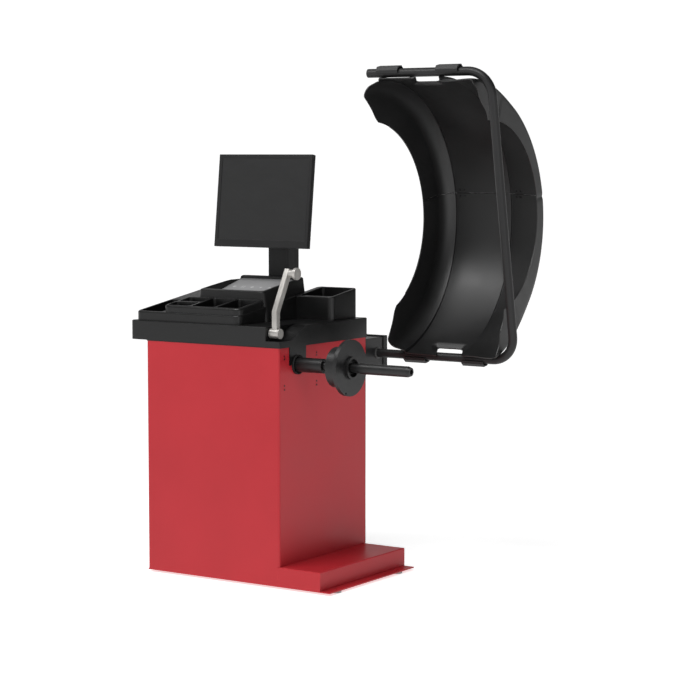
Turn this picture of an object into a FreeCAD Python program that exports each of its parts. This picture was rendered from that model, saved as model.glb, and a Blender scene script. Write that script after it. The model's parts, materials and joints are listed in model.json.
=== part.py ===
"""Wheel balancer: sheet-steel cabinet, weights tray, screen, belt-driven spindle,
pull-out gauge arm and a hinged wheel hood on a bent tube.

Row frame: +X runs out along the spindle, -Y faces the operator, +Z is up. The origin is
at floor level, in the centre of the four floor anchor holes. All sizes are millimetres.
"""
import FreeCAD, Part
import math
import os
import re

# Driving dimensions, one sheet cell each.
DIMENSIONS = {
    # Cabinet and base, sheet steel.
    "cab_left": -413, "cab_right": 175, "cab_front": -272, "cab_back": 285,
    "cab_top": 850, "sheet": 2, "plate": 4, "pad_high": 8, "fold_radius": 7,
    "step_wide": 171, "step_top": 78.5, "step_overlap": 10, "flange_wide": 41,
    "anchor_x": 366, "anchor_y": 201, "anchor_hole": 7, "pad_radius": 19,
    "cross_low": 700, "cover_low": 90, "deck_thick": 3,
    # Spindle.
    "spin_y": -161, "spin_z": 786, "housing_radius": 26, "housing_inner": 60,
    "housing_outer": 292, "bearing_radius": 23.5, "bearing_bore": 12.52,
    "bearing_wide": 12, "shaft_radius": 12.5, "neck_radius": 15,
    "boss_rear": 339, "disc_rear": 389, "disc_front": 403, "hub_front": 412,
    "neck_front": 445, "stud_front": 647, "boss_radius": 71, "disc_radius": 99,
    "stud_radius": 19, "stud_hole": 9, "ring_radius": 34.7,
    # Drive.
    "pulley_left": -45, "pulley_wide": 22, "big_pulley": 60, "small_pulley": 20,
    "motor_z": 600, "motor_radius": 55, "motor_left": -5, "motor_right": 140,
    "belt_thick": 3, "belt_gap": 0.3,
    # Tray mouldings.
    "rim_left": -486, "rim_right": 178, "rim_front": -274, "rim_back": 287,
    "rim_top": 923, "moulding": 4, "notch_left": 118, "notch_floor": 873,
    "notch_flat": -212, "notch_back": -81, "tongue_front": -212,
    "tongue_back": -110, "slope": 8.5, "tier_back": 172,
    "low_left": -474, "low_front": -260, "low_top": 955,
    "mid_left": -353, "mid_right": -8, "mid_front": -254, "mid_top": 980,
    "high_left": -308, "high_right": -18, "high_front": -96, "high_top": 1032,
    "keypad_deep": 38, "keypad_rise": 27,
    "bin_right": 155, "bin_front": 91, "bin_back": 262, "bin_top": 1008,
    # Screen and its column.
    "column_x": -150, "column_wide": 90, "column_front": 186, "column_split": 225,
    "column_back": 258, "column_top": 1400, "screen_wide": 420,
    "screen_high": 344, "screen_edge": 24, "screen_tilt": 6.4,
    "screen_y": 86, "screen_z": 1353, "tilt_y": 160,
    # Rim gauge.
    "rod_y": -242, "rod_z": 899, "rod_radius": 8, "rod_left": -330,
    "gauge_x": 140.5, "arm_wide": 21, "arm_deep": 25, "hub_radius": 18,
    "hub_wide": 40, "bend_z": 975, "tip_y": -165, "tip_z": 1118,
    # Wheel hood, tube and bracket.
    "pivot_y": 368, "pivot_z": 785, "hood_lean": 10.5, "leg_span": 1046,
    "pivot_reach": 529, "tube_radius": 16, "tube_wall": 2, "tube_bend": 90,
    "tube_corner": 757, "tube_foot": 40, "tube_head": 260,
    "hood_radius": 508.5, "hood_skin": 4, "hood_left": 261, "crease_left": 315,
    "crease_right": 559, "hood_right": 709, "rim_drop": 36,
    "left_cut": 355, "right_cut": 345, "right_cut_y": 77.5,
    "grip_base": 440, "grip_deep": 120, "clamp_long": 90, "clamp_recess": 10,
    "clamp_lip": 5.5,
    "bracket_left": 55, "bracket_high": 116, "bracket_back": 403, "cap_back": 430,
    "bush_radius": 21,
}

doc = FreeCAD.newDocument("wheel_balancer")
sheet = doc.addObject("Spreadsheet::Sheet", "Dims")
for row, (alias, value) in enumerate(DIMENSIONS.items(), start=1):
    sheet.set(f"A{row}", alias)
    sheet.set(f"B{row}", str(value))
    sheet.setAlias(f"B{row}", alias)
doc.recompute()

TURN_TO = {
    "X": FreeCAD.Rotation(FreeCAD.Vector(0, 1, 0), 90),
    "Y": FreeCAD.Rotation(FreeCAD.Vector(1, 0, 0), -90),
    "Z": FreeCAD.Rotation(),
}
PARTS = []


def size(alias):
    """The value of one sheet cell."""
    return float(sheet.get(alias))


def bind(obj, prop, formula):
    """Bind a property to a formula written with plain sheet names."""
    text = re.sub(r"[a-z_]{3,}", lambda hit: known(hit.group(0)), str(formula))
    obj.setExpression(prop, text)


def known(word):
    """A sheet name gets its sheet's prefix; a function name stays as it is."""
    return f"Dims.{word}" if word in DIMENSIONS else word


def place(obj, at):
    """Bind the three coordinates of an object's place."""
    for letter, formula in zip("xyz", at):
        bind(obj, f"Placement.Base.{letter}", formula)


def box(x, y, z):
    """A box from its low and high formula along each axis."""
    obj = doc.addObject("Part::Box", "Box")
    for prop, (low, high) in zip(("Length", "Width", "Height"), (x, y, z)):
        bind(obj, prop, f"({high}) - ({low})")
    place(obj, (x[0], y[0], z[0]))
    return obj


def rod(radius, start, end, at, axis="X"):
    """A cylinder along an axis from start to end; at gives the other two coordinates."""
    obj = doc.addObject("Part::Cylinder", "Rod")
    bind(obj, "Radius", radius)
    bind(obj, "Height", f"({end}) - ({start})")
    obj.Placement = FreeCAD.Placement(FreeCAD.Vector(), TURN_TO[axis])
    base = list(at)
    base.insert("XYZ".index(axis), start)
    place(obj, base)
    return obj


def cone(radius_a, radius_b, start, end, at, axis="X"):
    """A cone along an axis, from one radius to the other."""
    obj = doc.addObject("Part::Cone", "Cone")
    bind(obj, "Radius1", radius_a)
    bind(obj, "Radius2", radius_b)
    bind(obj, "Height", f"({end}) - ({start})")
    obj.Placement = FreeCAD.Placement(FreeCAD.Vector(), TURN_TO[axis])
    base = list(at)
    base.insert("XYZ".index(axis), start)
    place(obj, base)
    return obj


def wedge(x, y, low, front, back):
    """A block with a flat bottom whose top rises from its front to its back."""
    obj = doc.addObject("Part::Wedge", "Wedge")
    limits = {
        "Xmin": x[0], "Xmax": x[1], "X2min": x[0], "X2max": x[1],
        "Ymin": y[0], "Ymax": y[1], "Zmin": low, "Z2min": low,
        "Zmax": front, "Z2max": back,
    }
    for prop, formula in limits.items():
        bind(obj, prop, formula)
    return obj


def fuse(*pieces):
    """One solid from pieces that overlap or touch."""
    obj = doc.addObject("Part::MultiFuse", "Fuse")
    obj.Shapes = list(pieces)
    obj.Refine = True
    return obj


def cut(base, *tools):
    """The base less every tool."""
    obj = doc.addObject("Part::Cut", "Cut")
    obj.Base = base
    obj.Tool = tools[0] if len(tools) == 1 else group(*tools)
    return obj


def group(*pieces):
    """Separate solids held together as one object."""
    obj = doc.addObject("Part::Compound", "Group")
    obj.Links = list(pieces)
    return obj


def made(shape):
    """A plain feature for a shape that no primitive gives."""
    obj = doc.addObject("Part::Feature", "Made")
    obj.Shape = shape
    return obj


def node(label, obj):
    """Name a finished sub-part; its label names its file."""
    obj.Label = label
    PARTS.append(obj)
    return obj


def vector(x, y, z):
    return FreeCAD.Vector(x, y, z)


# ---------------------------------------------------------------- cabinet and base

CAB_X = ("cab_left", "cab_right")
CAB_Y = ("cab_front", "cab_back")
PLATE_TOP = "pad_high + plate"
FLANGE_RIGHT = "cab_right + step_wide + flange_wide"
ANCHORS = [(sx, sy) for sx in ("-anchor_x", "anchor_x") for sy in ("-anchor_y", "anchor_y")]
STEP_LEFT = "cab_right - step_overlap"
STEP_RIGHT = "cab_right + step_wide"


def base_frame():
    """Floor plate with a hollow step under the wheel and a foot flange beside it."""
    floor = box(("cab_left", FLANGE_RIGHT), CAB_Y, ("pad_high", PLATE_TOP))
    step = box((STEP_LEFT, STEP_RIGHT), CAB_Y, (PLATE_TOP, "step_top"))
    top = size("step_top") - 1
    step = rounded(step, size("plate"), lambda area: area.ZMin > top and area.XMax > size("cab_right"))
    inside = box(
        (f"{STEP_LEFT} + 3", f"{STEP_RIGHT} - 3"),
        ("cab_front + 3", "cab_back - 3"),
        (PLATE_TOP, "step_top - 3"),
    )
    holes = [rod("anchor_hole", "pad_high - 1", "pad_high + plate + 1", at, "Z")
             for at in ANCHORS]
    node("base_frame", cut(fuse(floor, cut(step, inside)), *holes))


def floor_pads():
    """Rubber washers under the plate, one round each anchor hole."""
    pads = [cut(rod("pad_radius", "0", "pad_high", at, "Z"),
                rod("anchor_hole", "-1", "pad_high + 1", at, "Z")) for at in ANCHORS]
    node("floor_pads", group(*pads))


def cabinet_shell():
    """Front, left and right walls folded from one sheet, notched over the step."""
    outside = box(CAB_X, ("cab_front", "cab_back - sheet"), (PLATE_TOP, "cab_top"))
    inside = box(
        ("cab_left + sheet", "cab_right - sheet"),
        ("cab_front + sheet", "cab_back"),
        ("pad_high", "cab_top + 1"),
    )
    over_step = box(
        (STEP_LEFT, "cab_right + 1"), ("cab_front - 1", "cab_back"), ("pad_high", "step_top")
    )
    slot = rod("ring_radius + 0.3", "cab_right - 10", "cab_right + 10", ("spin_y", "spin_z"))
    mouth = box(
        ("cab_right - 10", "cab_right + 10"),
        ("spin_y - ring_radius - 0.3", "spin_y + ring_radius + 0.3"),
        ("spin_z", "cab_top + 1"),
    )
    holes = [rod("2.2", "cab_right - 10", "cab_right + 10", at) for at in SIDE_SCREWS]
    radius = size("fold_radius")
    folded = cut(bent(outside, radius), bent(inside, radius - size("sheet")))
    node("cabinet_shell", cut(folded, over_step, slot, mouth, *holes))


def bent(block, radius):
    """A block whose two upright front edges are rounded by a fold."""
    doc.recompute()
    front = block.Shape.BoundBox.YMin
    return rounded(block, radius, lambda area: area.ZLength > 100 and area.YMax < front + 1)


def rounded(block, radius, wanted):
    """A block with a fillet on each edge whose bounding box is wanted."""
    doc.recompute()
    obj = doc.addObject("Part::Fillet", "Round")
    obj.Base = block
    obj.Edges = [(number, radius, radius) for number, edge in enumerate(block.Shape.Edges, start=1)
                 if wanted(edge.BoundBox)]
    return obj


# Two rows of two pairs of screws hold the measuring frame to the right wall.
SIDE_SCREWS = [(y, z) for y in ("spin_y - 79", "spin_y + 121")
               for z in ("spin_z - 83", "spin_z - 69", "spin_z + 24", "spin_z + 34")]


def side_screws():
    """Button-head screws with their shanks in the measuring frame."""
    screws = []
    for at in SIDE_SCREWS:
        head = rod("2.9", "cab_right", "cab_right + 1.6", at)
        shank = rod("2", "cab_right - 14", "cab_right + 1", at)
        socket = rod("1.4", "cab_right + 0.6", "cab_right + 3", at)
        screws.append(cut(fuse(head, shank), socket))
    node("side_screws", group(*screws))


def top_deck():
    """Steel deck inside the cabinet's mouth; it carries column, gauge and tray."""
    deck = box(
        ("cab_left", "cab_right"), ("cab_front", "cab_back"), ("cab_top", "cab_top + deck_thick")
    )
    wires = box(("-60", "0"), ("0", "60"), ("cab_top - 1", "cab_top + deck_thick + 1"))
    node("top_deck", cut(deck, wires))


def rear_crossmember():
    """Channel across the top of the open back; the hood bracket bolts to it."""
    x = ("cab_left + sheet", "cab_right - sheet")
    web = box(x, ("cab_back - 6", "cab_back - sheet"), ("cross_low", "cab_top"))
    lip_low = box(x, ("cab_back - 40", "cab_back - sheet"), ("cross_low", "cross_low + plate"))
    lip_top = box(x, ("cab_back - 40", "cab_back - sheet"), ("cab_top - plate", "cab_top"))
    skin = box(CAB_X, ("cab_back - sheet", "cab_back"), ("cross_low", "cab_top"))
    node("rear_crossmember", fuse(web, lip_low, lip_top, skin))


def rear_cover():
    """Removable back panel with two banks of cooling slots and an inlet opening."""
    panel = box(CAB_X, ("cab_back - sheet", "cab_back"), (PLATE_TOP, "cross_low - 1"))
    step = box(
        (f"{STEP_LEFT} - 0.5", "cab_right + 1"), ("cab_back - 9", "cab_back + 9"),
        ("0", "step_top + 0.5"),
    )
    slots = [box((f"{left}", f"{left} + 120"), ("cab_back - 9", "cab_back + 9"),
                 (f"{z}", f"{z} + 8"))
             for left in (-340, -20) for z in range(480, 620, 22)]
    inlet = box(("-376", "-324"), ("cab_back - 9", "cab_back + 9"), ("180", "222"))
    switch = box(("-364.3", "-335.7"), ("cab_back - 9", "cab_back + 9"), ("246.7", "273.3"))
    holes = [rod("2.7", "cab_back - 9", "cab_back + 9", at, "Y") for at in COVER_SCREWS]
    node("rear_cover", cut(panel, step, inlet, switch, *slots, *holes))


COVER_SCREWS = [(x, z) for x in ("cab_left + 18", "cab_right - 24") for z in ("140", "400", "670")]


def cover_screws():
    """Six pan-head screws round the rear cover."""
    screws = [fuse(rod("4.8", "cab_back", "cab_back + 3", at, "Y"),
                   rod("2.5", "cab_back - 10", "cab_back + 1", at, "Y")) for at in COVER_SCREWS]
    node("rear_cover_screws", group(*screws))


# ------------------------------------------------------------------- tray mouldings

def notch_cutter():
    """The space cut out of the rim for the gauge: flat floor, then an S up to the rim."""
    left = size("notch_left")
    front = size("rim_front") - 5
    flat = size("notch_flat")
    back = size("notch_back")
    low = size("notch_floor")
    top = size("rim_top")
    middle = vector(left, (flat + back) / 2 - 8, (low + top) / 2 + 4)
    start = vector(left, flat, low)
    end = vector(left, back, top)
    first = Part.Arc(start, vector(left, flat + 24, low + 8), middle).toShape()
    second = Part.Arc(middle, vector(left, back - 38, top - 6), end).toShape()
    lid = Part.makePolygon([
        end, vector(left, back, top + 5), vector(left, front, top + 5),
        vector(left, front, low), start,
    ])
    wire = Part.Wire([first, second] + lid.Edges)
    return Part.Face(wire).extrude(vector(size("rim_right") - left + 5, 0, 0))


def top_cover():
    """Black rim moulding: skirt, deck, the gauge notch and the tongue over the slot."""
    skin = size("moulding")
    outer = Part.makeBox(
        size("rim_right") - size("rim_left"), size("rim_back") - size("rim_front"),
        size("rim_top") - size("cab_top") - size("deck_thick"),
        vector(size("rim_left"), size("rim_front"), size("cab_top") + size("deck_thick")),
    )
    corners = [edge for edge in outer.Edges
               if edge.BoundBox.ZLength > 50 and edge.BoundBox.XMin < size("rim_left") + 1]
    outer = outer.makeFillet(14, corners)
    top_edges = [edge for edge in outer.Edges if edge.BoundBox.ZMin > size("rim_top") - 1]
    outer = outer.makeFillet(3.5, top_edges)
    inner = Part.makeBox(
        size("rim_right") - size("rim_left") - 2 * skin,
        size("rim_back") - size("rim_front") - 2 * skin,
        size("rim_top") - size("cab_top") - size("deck_thick") - skin,
        vector(size("rim_left") + skin, size("rim_front") + skin,
               size("cab_top") + size("deck_thick")),
    )
    notch = notch_cutter()
    lining = notch.copy()
    lining.translate(vector(-skin, 0, -skin))
    lining = lining.common(outer)
    shell = outer.cut(inner).fuse(lining).cut(notch)
    lap = Part.makeBox(
        size("rim_right") - size("cab_right") - 0.3, size("tongue_back") - size("tongue_front"),
        size("rim_top") - size("spin_z") - 60,
        vector(size("cab_right") + 0.3, size("tongue_front"), size("spin_z")),
    )
    skirt = Part.makeBox(
        size("rim_right") - size("cab_right") - 0.3, size("rim_back") - size("rim_front"),
        size("deck_thick") + 8,
        vector(size("cab_right") + 0.3, size("rim_front"), size("cab_top")),
    )
    ring = Part.makeCylinder(
        size("ring_radius") + 0.3, 40, vector(size("cab_right") - 20, size("spin_y"),
                                              size("spin_z")), vector(1, 0, 0)
    )
    hollow = column_hole()
    rod_hole = Part.makeCylinder(
        size("rod_radius") + 1, 60, vector(size("notch_left") - 30, size("rod_y"),
                                           size("rod_z")), vector(1, 0, 0)
    )
    shape = shell.fuse([lap, skirt]).cut([ring, hollow, rod_hole]).removeSplitter()
    node("top_cover", made(shape))


def column_hole():
    """Opening in the rim moulding where the screen column stands on the deck."""
    wide = size("column_wide") + 2
    return Part.makeBox(
        wide, size("column_back") - size("column_front") + 2, 40,
        vector(size("column_x") - wide / 2, size("column_front") - 1, size("rim_top") - 20),
    )


def slope_height(top, y, front):
    """Height of a sloping tier at y, from its height at its front edge."""
    return top + (y - front) * math.tan(math.radians(size("slope")))


def profile(x, side):
    """A prism along X from points given as y and z."""
    points = [vector(x[0], py, pz) for py, pz in side]
    face = Part.Face(Part.makePolygon(points + points[:1]))
    return face.extrude(vector(x[1] - x[0], 0, 0))


def moulded_block(x, y, low, top, lean, grow=0.0):
    """A block under a sloping lid, whose left and right walls lean in by lean per unit height.

    grow moves every face but the foot outwards: a negative value gives a moulding's inside.
    """
    high = 200
    shift = lean * high
    foot = [(x[0] - grow, low), (x[1] + grow, low)]
    head = [(x[1] + grow - shift, low + high), (x[0] - grow + shift, low + high)]
    front = y[0] - grow
    back = y[1] + grow
    points = [vector(px, front, pz) for px, pz in foot + head]
    block = Part.Face(Part.makePolygon(points + points[:1])).extrude(vector(0, back - front, 0))
    near = slope_height(top, front - 9, y[0]) + grow
    far = slope_height(top, back + 9, y[0]) + grow
    above = profile((x[0] - 9, x[1] + 9), [
        (front - 9, near), (back + 9, far), (back + 9, far + high), (front - 9, far + high)])
    return block.cut(above)


def softened(block, corner, edge):
    """Round a block's upright edges by corner, then its lid's edges by edge."""
    foot = block.BoundBox.ZMin + 1
    upright = [one for one in block.Edges if one.BoundBox.ZMin < foot < one.BoundBox.ZMax]
    block = block.makeFillet(corner, upright)
    if not edge:
        return block
    lid = max(block.Faces, key=lambda face: face.CenterOfMass.z)
    return block.makeFillet(edge, lid.Edges)


# The tiers: x limits, y limits, lid height at the front, lean, corner and edge radii.
def tiers():
    low = size("rim_top")
    back = size("tier_back")
    mid_back = size("high_front") + 8
    return [
        ((size("low_left"), size("mid_right")), (size("low_front"), back), low,
         size("low_top"), 0, 24, 6),
        ((size("mid_left"), size("mid_right") - 2), (size("mid_front"), mid_back), low,
         size("mid_top"), 0, 26, 9),
        ((size("high_left") - 12, size("high_right") + 18), (size("high_front") - 6, back), low,
         size("high_top"), 0.14, 16, 6),
        ((size("high_right") - 2, size("bin_right")), (size("bin_front"), size("bin_back")), low,
         size("bin_top"), 0, 20, 4),
    ]


# Storage pockets: x limits, y limits, floor height, and the tier that each hangs in.
def pockets():
    left = size("mid_left")
    front = size("mid_front")
    right = size("mid_right")
    low = size("low_left")
    low_front = size("low_front")
    bin_left = size("high_right")
    bin_front = size("bin_front")
    shallow = (size("low_top"), low_front)
    middle = (size("mid_top"), front)
    deep = (size("bin_top"), bin_front)
    return [
        ((low + 12, left - 8), (low_front + 12, low_front + 205), 935, *shallow),
        ((left + 13, left + 112), (front + 13, front + 72), 938, *middle),
        ((left + 13, left + 112), (front + 82, front + 148), 938, *middle),
        ((left + 122, left + 223), (front + 13, front + 148), 938, *middle),
        ((left + 233, right - 15), (front + 13, front + 148), 938, *middle),
        ((bin_left + 24, size("bin_right") - 12), (bin_front + 13, size("bin_back") - 12), 945,
         *deep),
    ]


def pocket_hollow(x, y, floor, grow=0.0, lift=0.0):
    """The room inside a pocket, with round corners and a round floor edge."""
    wide = x[1] - x[0] + 2 * grow
    deep = y[1] - y[0] + 2 * grow
    block = Part.makeBox(wide, deep, 190, vector(x[0] - grow, y[0] - grow, floor - lift))
    upright = [edge for edge in block.Edges if edge.BoundBox.ZLength > 100]
    block = block.makeFillet(11 + grow, upright)
    foot = [edge for edge in block.Edges if edge.BoundBox.ZMax < floor - lift + 1]
    return block.makeFillet(7 + grow, foot)


def weights_tray():
    """Raised black moulding: weight pockets, storage bin and the keypad recess."""
    skin = size("moulding")
    outer = None
    inner = None
    for x, y, low, top, lean, corner, edge in tiers():
        block = softened(moulded_block(x, y, low, top, lean), corner, edge)
        room = moulded_block(x, y, low - 1, top, lean, -skin)
        room = softened(room, max(2, corner - skin), 0)
        outer = block if outer is None else outer.fuse(block)
        inner = room if inner is None else inner.fuse(room)
    body = outer.cut(inner)
    for x, y, floor, _, _ in pockets():
        cup = pocket_hollow(x, y, floor, 3, 3)
        body = body.fuse(cup.common(outer))
    tub = keypad_room(skin, -skin, 120).common(outer)
    body = body.fuse(tub)
    for x, y, floor, _, _ in pockets():
        body = body.cut(pocket_hollow(x, y, floor))
    body = body.cut(keypad_room(0, 0, 120)).removeSplitter()
    mouths = pocket_mouths(body)
    node("weights_tray", made(body.makeFillet(2.2, mouths)))


def pocket_mouths(body):
    """The edges round the top of every pocket and of the keypad recess."""
    found = []
    limits = [(x, y, top, front) for x, y, _, top, front in pockets()]
    limits.append((keypad_x(), keypad_y(), size("high_top"), size("high_front") - 6))
    for x, y, top, front in limits:
        for edge in body.Edges:
            area = edge.BoundBox
            inside = (area.XMin > x[0] - 1 and area.XMax < x[1] + 1
                      and area.YMin > y[0] - 1 and area.YMax < y[1] + 1)
            spots = [edge.valueAt(edge.FirstParameter), edge.valueAt(edge.LastParameter)]
            on_lid = all(abs(spot.z - slope_height(top, spot.y, front)) < 0.3 for spot in spots)
            if inside and on_lid:
                found.append(edge)
    return found


def keypad_x():
    return (size("high_left") + 11, size("high_right") - 11)


def keypad_y():
    return (size("high_front") + 12, size("tier_back") - 14)


def keypad_room(grow, low, high):
    """A block on the line of the keypad's floor, which is deepest at its front."""
    x = keypad_x()
    y = keypad_y()
    front = size("high_top") - size("keypad_deep")
    climb = (size("keypad_deep") + size("keypad_rise")) / (y[1] - y[0])
    near = y[0] - grow
    far = y[1] + grow
    z_near = front - grow * climb + low
    z_far = front + (far - y[0]) * climb + low
    thick = high - low
    block = profile((x[0] - grow, x[1] + grow), [
        (near, z_near), (far, z_far), (far, z_far + thick), (near, z_near + thick)])
    upright = [edge for edge in block.Edges if edge.BoundBox.XLength + edge.BoundBox.YLength < 1]
    return block.makeFillet(10 + grow, upright)


def keypad():
    """Membrane keypad sheet on the recess floor, with its board on the underside."""
    sheet_thick = 1.5
    node("keypad_sheet", made(keypad_room(-1, 0, 120).cut(keypad_room(5, sheet_thick, 130))))


# ----------------------------------------------------------------- screen and column

def display_column():
    """Front channel of the column, open at the back, standing on the deck."""
    x = ("column_x - column_wide / 2", "column_x + column_wide / 2")
    outside = box(x, ("column_front", "column_split"), ("cab_top + deck_thick", "column_top"))
    inside = box(
        (f"{x[0]} + sheet", f"{x[1]} - sheet"), ("column_front + sheet", "column_split + 1"),
        ("cab_top + deck_thick + plate", "column_top - plate"),
    )
    node("display_column", cut(outside, inside))


def column_cover():
    """Rear half of the column, which hides the screen's wiring."""
    x = ("column_x - column_wide / 2 + 2", "column_x + column_wide / 2 - 2")
    outside = box(x, ("column_split + 0.5", "column_back"),
                  ("cab_top + deck_thick", "column_top - 2"))
    inside = box(
        (f"{x[0]} + sheet", f"{x[1]} - sheet"), ("column_split", "column_back - sheet"),
        ("cab_top + deck_thick + plate", "column_top - 2 - plate"),
    )
    node("column_cover", cut(outside, inside))


def monitor_mount():
    """Two ears on the column that carry the tilt pin, and the pin with its knobs."""
    ears = [box((f"column_x + {left}", f"column_x + {left} + 5"),
                ("tilt_y - 14", "column_front"), ("screen_z - 20", "screen_z + 20"))
            for left in (-40, 35)]
    plate = box(("column_x - 40", "column_x + 40"), ("column_front - 4", "column_front"),
                ("screen_z - 45", "screen_z + 45"))
    bore = rod("5.05", "column_x - 60", "column_x + 60", ("tilt_y", "screen_z"))
    node("monitor_mount", cut(fuse(plate, *ears), bore))
    pin = rod("5", "column_x - 52", "column_x + 52", ("tilt_y", "screen_z"))
    knobs = [rod("13", f"column_x + {start}", f"column_x + {start} + 12",
                 ("tilt_y", "screen_z")) for start in (-52, 40)]
    node("tilt_pin", fuse(pin, *knobs))


def tilted(label, shape):
    """A piece of the screen, drawn upright and leant back about its centre."""
    obj = group(shape)
    obj.Placement = FreeCAD.Placement(
        vector(0, 0, 0), FreeCAD.Rotation(vector(1, 0, 0), -size("screen_tilt")))
    place(obj, ("column_x", "screen_y", "screen_z"))
    node(label, obj)


def screen():
    """Flat screen: bezel, panel, rear casing and the bracket on the tilt pin."""
    half = "screen_wide / 2"
    tall = "screen_high / 2"
    frame = box((f"-{half}", half), ("0", "screen_edge - 8"), (f"-{tall}", tall))
    window = box((f"-{half} + 15", f"{half} - 15"), ("-1", "screen_edge"),
                 (f"-{tall} + 28", f"{tall} - 14"))
    tilted("screen_bezel", cut(frame, window))
    panel = box((f"-{half} + 15", f"{half} - 15"), ("2", "screen_edge - 14"),
                (f"-{tall} + 28", f"{tall} - 14"))
    tilted("screen_panel", panel)
    rim = box((f"-{half} + 0.5", f"{half} - 0.5"), ("screen_edge - 8", "screen_edge"),
              (f"-{tall} + 0.5", f"{tall} - 0.5"))
    hump = box(("-130", "130"), ("screen_edge - 1", "screen_edge + 20"), ("-105", "95"))
    inside = box(("-127", "127"), ("screen_edge", "screen_edge + 17"), ("-102", "92"))
    tilted("screen_back", cut(fuse(rim, hump), inside))
    hang = "(tilt_y - screen_y) / cos(screen_tilt)"
    plate = box(("-50", "50"), ("screen_edge + 20", "screen_edge + 24"), ("-50", "50"))
    ear_height = "-(tilt_y - screen_y) * sin(screen_tilt)"
    ears = [box((f"{left}", f"{left} + 4"), ("screen_edge + 20", f"{hang} + 9"),
                (f"{ear_height} - 12", f"{ear_height} + 36")) for left in (-34, 30)]
    away = "(tilt_y - screen_y) * cos(screen_tilt)"
    up = "(tilt_y - screen_y) * sin(screen_tilt)"
    bore = rod("5.05", "-60", "60", (away, up))
    tilted("tilt_bracket", cut(fuse(plate, *ears), bore))


# ----------------------------------------------------------------- measuring spindle

AXIS = ("spin_y", "spin_z")


def spindle_housing():
    """Steel tube with a bearing seat at each end."""
    tube = rod("housing_radius", "housing_inner", "housing_outer", AXIS)
    seat_in = rod("bearing_radius", "housing_inner - 1", "housing_inner + 14", AXIS)
    seat_out = rod("bearing_radius", "housing_outer - 16", "housing_outer - 2", AXIS)
    mouth = rod("neck_radius + 2", "housing_outer - 3", "housing_outer + 1", AXIS)
    bore = rod("bearing_radius - 4", "housing_inner", "housing_outer - 10", AXIS)
    node("spindle_housing", cut(tube, seat_in, seat_out, mouth, bore))


def bearings():
    """Sealed ball bearings, one at each end of the housing."""
    pair = []
    for start in ("housing_inner + 2", "housing_outer - 16"):
        ring = rod("bearing_radius", start, f"{start} + bearing_wide", AXIS)
        bore = rod("bearing_bore", f"{start} - 1", f"{start} + bearing_wide + 1", AXIS)
        grooves = []
        for face in (f"{start} - 1", f"{start} + bearing_wide - 1"):
            groove = rod("20.5", face, f"{face} + 2", AXIS)
            core = rod("15.5", f"{face} - 1", f"{face} + 3", AXIS)
            grooves.append(cut(groove, core))
        pair.append(cut(ring, bore, *grooves))
    node("spindle_bearings", group(*pair))


def measuring_frame():
    """Heavy plate behind the right wall that grips the housing and hangs the motor."""
    x = ("cab_right - 16", "cab_right - 6")
    plate = box(x, ("spin_y - 95", "spin_y + 145"), ("spin_z - 235", "spin_z + 46"))
    collar = rod("housing_radius + 12", "cab_right - 50", "cab_right - 10", AXIS)
    shelf = box(("cab_right - 110", "cab_right - 10"), ("spin_y - 8", "spin_y + 8"),
                ("spin_z - 110", "spin_z - 20"))
    bore = rod("housing_radius", "0", "cab_right", AXIS)
    motor_hole = rod("30", "0", "cab_right", ("spin_y", "motor_z"))
    holes = [rod("2", "cab_right - 20", "cab_right", at) for at in SIDE_SCREWS]
    spacers = [rod("10", "cab_right - 7", "cab_right - sheet", at) for at in
               [(y, z) for y in ("spin_y - 79", "spin_y + 121")
                for z in ("spin_z - 76", "spin_z + 29")]]
    node("measuring_frame",
         cut(fuse(plate, collar, shelf, *spacers), bore, motor_hole, *holes))


def sensors():
    """Two piezo force rings clamped against the housing collar by studs."""
    rings = []
    for z in ("spin_z - 60", "spin_z - 90"):
        ring = rod("13", "spin_y + 8", "spin_y + 18", ("cab_right - 90", z), "Y")
        hole = rod("4", "spin_y + 7", "spin_y + 19", ("cab_right - 90", z), "Y")
        rings.append(cut(ring, hole))
    node("piezo_sensors", group(*rings))
    studs = [fuse(rod("4", "spin_y + 8", "spin_y + 30", ("cab_right - 90", z), "Y"),
                  rod("7", "spin_y + 18", "spin_y + 25", ("cab_right - 90", z), "Y"))
             for z in ("spin_z - 60", "spin_z - 90")]
    node("sensor_studs", group(*studs))


def seal_ring():
    """Rubber grommet between the housing and the slot in the wall."""
    ring = rod("ring_radius", "cab_right - 5", "cab_right + 9", AXIS)
    bore = rod("housing_radius", "cab_right - 9", "cab_right + 12", AXIS)
    funnel = cone("housing_radius", "ring_radius - 2", "cab_right + 1", "cab_right + 9.01", AXIS)
    node("seal_ring", cut(ring, bore, funnel))


def spindle_shaft():
    """Stepped shaft from the pulley to the flange."""
    thin = rod("shaft_radius", "pulley_left - 14", "housing_outer - 4", AXIS)
    neck = rod("neck_radius", "housing_outer - 4", "boss_rear + 20", AXIS)
    thread = rod("shaft_radius - 2", "pulley_left - 24", "pulley_left - 14", AXIS)
    node("spindle_shaft", fuse(thin, neck, thread))


def wheel_flange():
    """Cast flange: rear boss, wheel disc and the raised ring that centres cones."""
    boss = rod("boss_radius", "boss_rear", "disc_rear", AXIS)
    disc = rod("disc_radius", "disc_rear", "disc_front", AXIS)
    ring = rod("40", "disc_front", "hub_front", AXIS)
    pit = rod("32", "disc_front - 6", "hub_front + 1", AXIS)
    shaft_bore = rod("neck_radius", "boss_rear - 1", "boss_rear + 20", AXIS)
    stud_bore = rod("stud_radius - 2", "boss_rear + 20", "disc_front", AXIS)
    mark = rod("4", "disc_front - 10", "disc_front + 1", ("spin_y - 34", "spin_z - 86"))
    node("wheel_flange", cut(fuse(boss, disc, ring), pit, shaft_bore, stud_bore, mark))


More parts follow.
